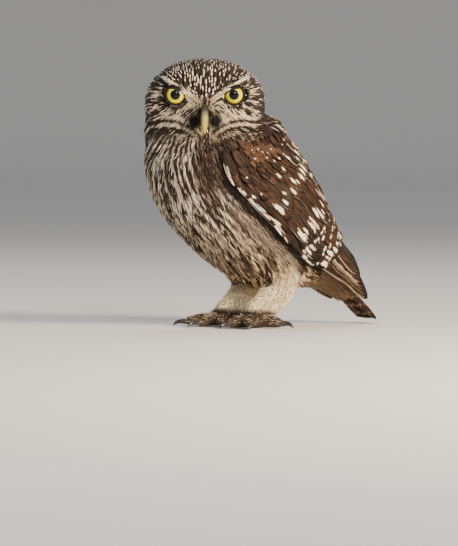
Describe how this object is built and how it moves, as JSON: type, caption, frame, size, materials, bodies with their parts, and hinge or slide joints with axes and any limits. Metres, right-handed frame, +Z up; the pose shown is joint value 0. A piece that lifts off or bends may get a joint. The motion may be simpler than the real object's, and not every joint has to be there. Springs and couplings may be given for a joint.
{
  "type": "little owl model",
  "caption": "Life-size still model of a small perched owl standing on both feet, head turned over its left shoulder, wings folded, tail low behind.",
  "frame": {"origin": "centre of the bounding box in plan, on the floor under the soles and the tail tip", "axes": "+Z up; the body faces -Y and the bird's left side is +X; the head is turned 55 degrees to the left"},
  "size_m": [0.0926, 0.1758, 0.175],
  "materials": {
    "plumage": "soft feather",
    "pale_plumage": "soft feather",
    "wing_feather": "smooth vane",
    "bill_horn": "smooth horn",
    "eye_surface": "wet gloss",
    "toe_skin": "bristled skin",
    "claw_horn": "polished black horn"
  },
  "bodies": {
    "root": {"head": "plumage", "eye_left": "eye_surface", "eye_right": "eye_surface", "beak_upper": "bill_horn", "beak_lower": "bill_horn", "neck": "plumage", "torso": "plumage", "wing_left": "wing_feather", "wing_right": "wing_feather", "tail": "wing_feather", "thigh_left": "pale_plumage", "shank_left": "pale_plumage", "foot_left": "toe_skin", "toe_inner_left": "toe_skin", "claw_inner_left": "claw_horn", "toe_middle_left": "toe_skin", "claw_middle_left": "claw_horn", "toe_outer_left": "toe_skin", "claw_outer_left": "claw_horn", "toe_hind_left": "toe_skin", "claw_hind_left": "claw_horn", "thigh_right": "pale_plumage", "shank_right": "pale_plumage", "foot_right": "toe_skin", "toe_inner_right": "toe_skin", "claw_inner_right": "claw_horn", "toe_middle_right": "toe_skin", "claw_middle_right": "claw_horn", "toe_outer_right": "toe_skin", "claw_outer_right": "claw_horn", "toe_hind_right": "toe_skin", "claw_hind_right": "claw_horn"}
  },
  "joints": []
}
